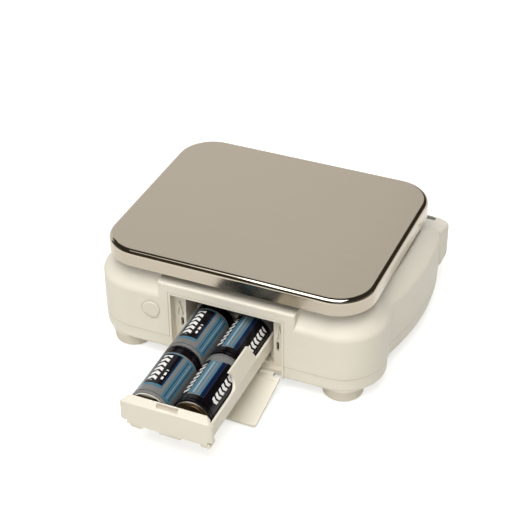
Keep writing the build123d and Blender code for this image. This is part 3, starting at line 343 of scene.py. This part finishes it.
def cast_metal(name, colour, roughness):
    """Cast or machined metal with a fine even grain."""
    material, t, shader = new_material(name)
    grain_out = t.group(SPARK_GRAIN, Place=t.place(), Grain_per_metre=CAST_GRAIN, Tone=0.12)
    t.set(shader["Base Color"], t.mix(1.0, colour, grain_out["Tone factor"], "MULTIPLY"))
    smoothest = roughness - CAST_SPREAD
    roughest = roughness + CAST_SPREAD
    t.set(shader["Roughness"], t.smooth(grain_out["Height"], 0.2, 1.2, smoothest, roughest))
    t.set(shader["Normal"], t.bump(grain_out["Height"], 0.4, CAST_DEPTH))
    shader["Metallic"].default_value = 1.0
    return material


PLATTER_TOP = 101.5 * MM
PLATTER_EDGE = 4.0 * MM
EDGE_BLEND = 0.6 * MM
# Painted shade: the skirt's colour is this much darker than the top's
SKIRT_PAINTED_SHADE = 0.91
SATIN_ROUGHNESS = 0.20
POLISHED_ROUGHNESS = 0.05
SKIRT_EXTRA_ROUGHNESS = 0.12


def platter_steel():
    """Satin top, polished rounded edge and a softer drawn skirt, told apart by height; the skirt is
    painted darker as shade.
    """
    material, t, shader = new_material("platter steel")
    place = t.place()
    lines = t.group(BRUSH_LINES, Place=place, Fineness=2600.0, Length=22.0)
    mask = t.group(HANDLING_DUST, Place=place, Amount=0.3, Patch_per_metre=16.0)["Mask"]
    height = t.parts(place)[2]
    flat_top = t.smooth(height, PLATTER_TOP - 0.12 * MM, PLATTER_TOP - 0.01 * MM)
    edge_foot = PLATTER_TOP - PLATTER_EDGE
    skirt = t.smooth(height, edge_foot + EDGE_BLEND, edge_foot - EDGE_BLEND)
    # Painted shade on the skirt
    skirt_painted_darker = t.mix(skirt, STEEL_WARM, scaled(STEEL_WARM, SKIRT_PAINTED_SHADE))
    t.set(shader["Base Color"], streaked(t, skirt_painted_darker, lines, 0.008))
    satin = t.math("ADD", t.math("MULTIPLY", mask, 0.08), SATIN_ROUGHNESS)
    over_polish = t.math("SUBTRACT", satin, POLISHED_ROUGHNESS)
    edge_and_top = t.math("MULTIPLY_ADD", flat_top, over_polish, POLISHED_ROUGHNESS)
    t.set(shader["Roughness"], t.math("MULTIPLY_ADD", skirt, SKIRT_EXTRA_ROUGHNESS, edge_and_top))
    t.set(shader["Normal"], t.bump(lines["Height"], 0.10, 0.01 * MM))
    shader["Metallic"].default_value = 1.0
    return material


CELL_AXIS = 40.5 * MM
NUB_HEIGHT = 1.5 * MM
FILM_EDGE = 15.4 * MM
CRIMP_OUTER = 15.2 * MM
CRIMP_INNER = 14.3 * MM
CRIMP_SOFT = 0.15 * MM
TURN_SOFT = 0.8
ALONG_SOFT = 0.2
FILM_GLOSS = 0.22
# Fields as (colour, from turn, to turn, from mm, to mm): turn is in degrees from the top of the cell,
# and mm are counted from the end with the nub
FIELDS_LEFT = (
    (FILM_BLACK, -180, 181, 51, 61),
    (FILM_BLUE, -74, -70, 6, 50),
    (FILM_BLUE, -46, 24, 9, 50),
    (FILM_BLACK, -38, 18, 12, 49),
    (FILM_NAVY, 18, 22, 12, 49),
    (FILM_BLUE, 34, 66, 3, 50),
    (FILM_NAVY, 41, 43, 5, 48),
    (FILM_PALE, 50, 52, 5, 48),
    (FILM_NAVY, 58, 60, 5, 48),
)
CHEVRONS_LEFT = ((-30, -4, 15, 47), (6, 12, 18, 30))
FIELDS_RIGHT = (
    (FILM_BLACK, -80, -26, 8, 61),
    (FILM_BLUE, -26, 10, 10, 51),
    (FILM_PALE, -14, -9, 11, 50),
    (FILM_GREY, -4, 2, 11, 50),
    (FILM_NAVY, 10, 22, 9, 52),
    (FILM_BLACK, 22, 80, 8, 61),
    (FILM_BLACK, -180, 181, 52, 61),
)
CHEVRONS_RIGHT = ((-52, -30, 13, 49), (42, 62, 13, 49))
CHEVRON_PITCH = 5.6
CHEVRON_LEAN = 0.17


def printed_field(t, turn, along, turn_low, turn_high, low, high):
    """Mask of one field on the film, between two turns and two distances from the nub's end."""
    round_cell = t.between(turn, turn_low, turn_high, TURN_SOFT)
    down_cell = t.between(along, low, high, ALONG_SOFT)
    return t.math("MULTIPLY", round_cell, down_cell)


def cell_film(name, centre_x, seat_y, nub_near):
    """Printed film on a cell: long coloured fields and rows of chevrons, bare steel on both ends,
    darkened there as painted shade, with a painted highlight round the crimp.
    """
    fields = FIELDS_LEFT if nub_near else FIELDS_RIGHT
    chevrons = CHEVRONS_LEFT if nub_near else CHEVRONS_RIGHT
    way = 1.0 if nub_near else -1.0
    material, t, shader = new_material(name)
    x, y, z = t.parts(t.place())
    across = t.math("SUBTRACT", x, centre_x)
    up = t.math("SUBTRACT", z, CELL_AXIS)
    along = t.math("MULTIPLY", t.math("SUBTRACT", y, seat_y), way / MM)
    turn = t.math("MULTIPLY", t.math("ARCTAN2", across, up), math.degrees(1.0))
    squares = t.math("ADD", t.math("MULTIPLY", across, across), t.math("MULTIPLY", up, up))
    radius = t.math("SQRT", squares)
    colour = FILM_GREY
    for tone, turn_low, turn_high, low, high in fields:
        inside = printed_field(t, turn, along, turn_low, turn_high, low, high)
        colour = t.mix(inside, colour, tone)
    for turn_low, turn_high, low, high in chevrons:
        off_middle = t.math("ABSOLUTE", t.math("SUBTRACT", turn, (turn_low + turn_high) / 2))
        slant = t.math("MULTIPLY_ADD", off_middle, CHEVRON_LEAN, along)
        wave = t.math("FRACT", t.math("DIVIDE", slant, CHEVRON_PITCH))
        bars = t.between(wave, 0.20, 0.80, 0.05)
        inside = printed_field(t, turn, along, turn_low, turn_high, low, high)
        colour = t.mix(t.math("MULTIPLY", bars, inside), colour, FILM_WHITE)
    metal = t.smooth(radius, FILM_EDGE, CRIMP_OUTER)
    # Painted shade: the steel end is darker than bare steel
    end_colour_and_shade = t.mix(t.smooth(along, 40.0, 42.0), CAN_STEEL_PAINTED_SHADE, CAN_BRONZE)
    # Painted highlight: a bright ring round the crimp
    crimp_highlight = t.between(radius, CRIMP_INNER, CRIMP_OUTER, CRIMP_SOFT)
    t.set(shader["Base Color"], t.mix(metal, colour, t.mix(crimp_highlight, end_colour_and_shade, CRIMP_PAINTED_HIGHLIGHT)))
    t.set(shader["Metallic"], metal)
    dull = t.group(HANDLING_DUST, Place=t.place(), Amount=0.5, Patch_per_metre=60.0)["Mask"]
    film_roughness = t.math("MULTIPLY_ADD", dull, 0.20, 0.16)
    t.set(shader["Roughness"], t.math("MULTIPLY_ADD", metal, 0.18, film_roughness))
    shader["Specular IOR Level"].default_value = FILM_GLOSS
    return material


WINDOW_TINT = (0.86, 0.90, 0.90)
ACRYLIC_IOR = 1.49


def clear_window():
    """Clear acrylic over the display, a little hazed by handling."""
    material, t, shader = new_material("display window")
    place = t.place()
    haze = t.group(HANDLING_DUST, Place=place, Amount=0.3, Patch_per_metre=60.0)["Mask"]
    t.set(shader["Roughness"], t.math("ADD", t.math("MULTIPLY", haze, 0.2), 0.03))
    shader["Base Color"].default_value = (*WINDOW_TINT, 1.0)
    shader["Transmission Weight"].default_value = 1.0
    shader["IOR"].default_value = ACRYLIC_IOR
    return material


BOARD_SLOPE = -21.0
TRACKS_PER_METRE = 90.0


def board_lacquer():
    """Green lacquer over fine copper tracks, on a board that lies parallel to the sloping head."""
    material, t, shader = new_material("board lacquer")
    place = t.place()
    brick = t.add("ShaderNodeTexBrick", offset=0.5, squash=1.0)
    t.set(brick.inputs["Vector"], t.turned(place, BOARD_SLOPE))
    t.set(brick.inputs["Scale"], TRACKS_PER_METRE)
    t.set(brick.inputs["Mortar Size"], 0.03)
    tracks = t.mix(brick.outputs["Fac"], BOARD_GREEN, scaled(BOARD_GREEN, 1.9))
    t.set(shader["Base Color"], tracks)
    t.set(shader["Roughness"], t.smooth(t.noise(place, 300.0), 0.3, 0.7, 0.25, 0.4))
    t.set(shader["Normal"], t.bump(brick.outputs["Fac"], 0.3, 0.05 * MM))
    return material


def dress(name, material):
    """Give a node one material."""
    slots = nodes[name].data.materials
    slots.clear()
    slots.append(material)
    for polygon in nodes[name].data.polygons:
        polygon.material_index = 0


# The case plastic gets painted shade along its parting line, the drawer plastic in its finger notch
case_plastic = moulded("case plastic", IVORY, 0.42, painted_shade_at=painted_seam_shade)
drawer_plastic = moulded("drawer plastic", IVORY_DRAWER, 0.40, painted_shade_at=painted_notch_shade, painted_shade_tone=NOTCH_PAINTED_SHADE)
# Painted light: the door's plastic is lighter than the case's
door_plastic_painted_light = moulded("door plastic painted light", IVORY_DOOR_PAINTED_LIGHT, 0.42)
bay_plastic = moulded("bay plastic", IVORY, 0.46)
foot_rubber = moulded("foot rubber", FOOT_STONE, 0.62, grain=1800.0, tone=0.08, dust=0.4)
cap_rubber = moulded("cap rubber", scaled(IVORY, 0.97), 0.55, grain=3200.0)
panel_plastic = moulded("panel plastic", PANEL_BLUE_GREY, 0.38, grain=3400.0)
key_plastic = moulded("key plastic", KEY_GREY, 0.40, grain=3400.0)
mat_rubber = moulded("mat rubber", MAT_GREY, 0.60, grain=3000.0)
pad_rubber = moulded("pad rubber", RUBBER_BLACK, 0.65, grain=1800.0)
jack_plastic = moulded("jack plastic", RUBBER_BLACK, 0.35, grain=3000.0, coat=0.3)
lcd_glass = moulded("display glass", LCD_GREEN, 0.20, grain=4000.0, depth=0.01 * MM, coat=0.4)
support_metal = cast_metal("support casting", ALUMINIUM, 0.48)
beam_metal = sheet_metal("beam aluminium", ALUMINIUM, 0.35, fineness=1500.0)
bridge_metal = sheet_metal("bridge steel", ZINC, 0.40)
screw_metal = cast_metal("screw zinc", ZINC, 0.36)
pin_metal = sheet_metal("pin steel", NICKEL, 0.22)
contact_metal = sheet_metal("contact strip", NICKEL, 0.26)
spring_metal = sheet_metal("spring bronze", BRONZE, 0.30)

dress("platter", platter_steel())
for name in ("upper_case", "lower_case"):
    dress(name, case_plastic)
dress("battery_bay", bay_plastic)
dress("battery_drawer", drawer_plastic)
dress("battery_door", door_plastic_painted_light)
dress("jack_cap", cap_rubber)
dress("dc_jack", jack_plastic)
for name in ("foot_rear_left", "foot_rear_right", "foot_front_left", "foot_front_right"):
    dress(name, foot_rubber)
dress("platter_pads", pad_rubber)
dress("platter_support", support_metal)
for name in ("load_cell", "load_cell_spacer", "support_spacer"):
    dress(name, beam_metal)
dress("load_cell_bridge", bridge_metal)
for name in ("support_screws", "load_cell_screws", "overload_stop", "bridge_screws", "bay_screws",
             "case_screws", "foot_screws", "board_screws"):
    dress(name, screw_metal)
dress("door_hinge_pin", pin_metal)
for name in ("drawer_front_contact", "drawer_rear_contacts", "bay_contacts"):
    dress(name, contact_metal)
dress("cell_springs", spring_metal)
dress("display_panel", panel_plastic)
dress("display_window", clear_window())
dress("lcd_module", lcd_glass)
dress("key_mat", mat_rubber)
dress("main_board", board_lacquer())
for name in ("tare_key", "unit_key", "hold_key", "power_key"):
    dress(name, key_plastic)
for name in ("battery_front_left", "battery_rear_left", "battery_front_right", "battery_rear_right"):
    low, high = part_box(name)
    nub_near = name.endswith("left")
    seat = low.y + NUB_HEIGHT if nub_near else high.y - NUB_HEIGHT
    dress(name, cell_film(name.replace("_", " ") + " film", (low.x + high.x) / 2, seat, nub_near))


# Stage: floor, world, cards, lamps and camera

WHITE = (1.0, 1.0, 1.0)
FLOOR_SIZE = 5.0
FLOOR_DROP = 0.2 * MM
FLOOR_PAINT = (0.62, 0.615, 0.585)
FLOOR_GLOW = 0.64
FILL_COLOUR = (1.0, 0.990, 0.95)
FILL_STRENGTH = 0.38


def seen_directly(t):
    """1 for a ray from the camera, a reflection or a clear piece, 0 for light that falls on things."""
    path = t.add("ShaderNodeLightPath").outputs
    mirrored = t.math("MAXIMUM", path["Is Glossy Ray"], path["Is Transmission Ray"])
    return t.math("MAXIMUM", path["Is Camera Ray"], mirrored)


def floor_paint():
    """Matt paint that camera and reflections see at full white, with the object's shadow on it."""
    material, t, shader = new_material("floor paint")
    shader["Base Color"].default_value = (*FLOOR_PAINT, 1.0)
    shader["Roughness"].default_value = 0.9
    shader["Specular IOR Level"].default_value = 0.0
    shader["Emission Color"].default_value = (*WHITE, 1.0)
    t.set(shader["Emission Strength"], t.math("MULTIPLY", seen_directly(t), FLOOR_GLOW))
    return material


def floor():
    bpy.ops.object.select_all(action="DESELECT")
    bpy.ops.mesh.primitive_plane_add(size=FLOOR_SIZE, location=(0, 0, -FLOOR_DROP))
    plane = bpy.context.object
    plane.name = "floor"
    bpy.ops.object.transform_apply(location=True)
    plane.data.materials.append(floor_paint())


def world():
    """Full white where it is seen, and a weaker warm fill where it lights the object."""
    studio = bpy.data.worlds.new("studio")
    studio.use_nodes = True
    bpy.context.scene.world = studio
    t = Tree(studio.node_tree)
    background = studio.node_tree.nodes["Background"]
    seen = seen_directly(t)
    t.set(background.inputs["Color"], t.mix(seen, FILL_COLOUR, WHITE))
    t.set(background.inputs["Strength"], t.math("MULTIPLY_ADD", seen, 1.0 - FILL_STRENGTH, FILL_STRENGTH))


CARD_WHITE = (1.0, 0.985, 0.96)
CARD_BROWN = (1.0, 0.80, 0.45)
DARK = 0.02
# The ring of cards, in metres from the middle of the object; BAND_EDGE is where the pale backdrop ends
SIDE = 4.0
NEAR = -3.2
FAR = 3.0
FOOT = 0.02
CEILING = 2.30
DIM_HEIGHT = 2.26
BAND_EDGE = -0.48
THIN = 0.01


def card(name, low, high, tone, glow, colour=CARD_WHITE):
    """A flat studio card between two corners, which only polished metal and gloss can see."""
    bpy.ops.object.select_all(action="DESELECT")
    bpy.ops.mesh.primitive_cube_add(size=1.0)
    board = bpy.context.object
    board.name = name
    board.location = (Vector(low) + Vector(high)) / 2
    board.scale = Vector(high) - Vector(low)
    bpy.ops.object.transform_apply(location=True, scale=True)
    material, _, shader = new_material(name + " cloth")
    shader["Base Color"].default_value = (tone, tone, tone, 1.0)
    shader["Roughness"].default_value = 0.95
    shader["Emission Color"].default_value = (*colour, 1.0)
    shader["Emission Strength"].default_value = glow
    board.data.materials.append(material)
    board.visible_camera = False
    board.visible_diffuse = False
    board.visible_shadow = False
    board.visible_transmission = False


def cards():
    """Cards for the platter's reflections.

    The flat top mirrors the pale backdrop card. The dark cards draw the dark bands on its rounded
    edge, and the dim cards lead up to the softbox's highlight there.
    """
    overhead_end = 1.85
    front_split = 0.35
    top = CEILING + THIN
    card("overhead card", (-SIDE, NEAR, CEILING), (SIDE, overhead_end, top), DARK, 0.03, CARD_BROWN)
    card("rear right overhead card", (BAND_EDGE, overhead_end, CEILING), (SIDE, FAR, top), DARK, 0.035,
         CARD_BROWN)
    card("front card", (-SIDE, NEAR - THIN, FOOT), (front_split, NEAR, CEILING), DARK, 0.05, CARD_BROWN)
    card("front right card", (front_split, NEAR - THIN, FOOT), (SIDE, NEAR, CEILING), DARK, 0.24)
    card("left card", (-SIDE - THIN, NEAR, FOOT), (-SIDE, 0.6, CEILING), DARK, 0.09)
    card("right card", (SIDE, NEAR, FOOT), (SIDE + THIN, FAR, CEILING), DARK, 0.18)
    card("far right card", (BAND_EDGE, FAR, 0.75), (SIDE, FAR + THIN, 4.0), DARK, 0.035, CARD_BROWN)
    dim_top = DIM_HEIGHT + THIN
    card("dim card far", (-1.30, -0.95, DIM_HEIGHT), (-0.98, -0.40, dim_top), 0.0, 1.10)
    card("dim card middle", (-0.98, -1.15, DIM_HEIGHT), (-0.87, -0.30, dim_top), 0.0, 1.40)
    card("dim card near", (-0.87, -1.35, DIM_HEIGHT), (-0.70, -0.20, dim_top), 0.0, 1.90)
    card("far backdrop card", (-5.0, 3.2, FOOT), (BAND_EDGE, 3.21, 4.5), 0.0, 0.90)


def softbox(name, place, target, width, length, power, seen_in_metal):
    """A rectangular lamp that faces its target, in metres and watts."""
    data = bpy.data.lights.new(name, "AREA")
    data.shape = "RECTANGLE"
    data.size = width
    data.size_y = length
    data.energy = power
    box = bpy.data.objects.new(name, data)
    bpy.context.scene.collection.objects.link(box)
    direction = Vector(target) - Vector(place)
    box.location = place
    box.rotation_euler = direction.to_track_quat("-Z", "Y").to_euler()
    box.visible_glossy = seen_in_metal


def camera():
    """The camera that the part's sizes were worked out with."""
    data = bpy.data.cameras.new("camera")
    data.sensor_width = SENSOR
    data.sensor_fit = "HORIZONTAL"
    data.lens = CAMERA_FOCUS_PX / PHOTO_WIDTH_PX * SENSOR
    eye = bpy.data.objects.new("camera", data)
    bpy.context.scene.collection.objects.link(eye)
    turn = Matrix.Rotation(math.radians(CAMERA_AZIMUTH), 4, "Z")
    tip = Matrix.Rotation(math.radians(90.0 - CAMERA_ELEVATION), 4, "X")
    roll = Matrix.Rotation(math.radians(CAMERA_ROLL), 4, "Z")
    eye.matrix_world = Matrix.Translation(CAMERA_PLACE) @ turn @ tip @ roll
    bpy.context.scene.camera = eye


floor()
world()
cards()
softbox("overhead softbox", (0.05, -0.76, 1.95), (0, 0.04, 0.10), width=1.48, length=1.45, power=35.0,
        seen_in_metal=True)
softbox("front softbox", (0.20, -2.60, 1.00), (0, 0.0, 0.06), width=1.6, length=1.0, power=12.0,
        seen_in_metal=False)
softbox("rear softbox", (-0.70, 2.60, 1.10), (0, 0.0, 0.06), width=1.6, length=1.0, power=7.0,
        seen_in_metal=False)
camera()
bpy.context.scene.view_settings.view_transform = "Standard"
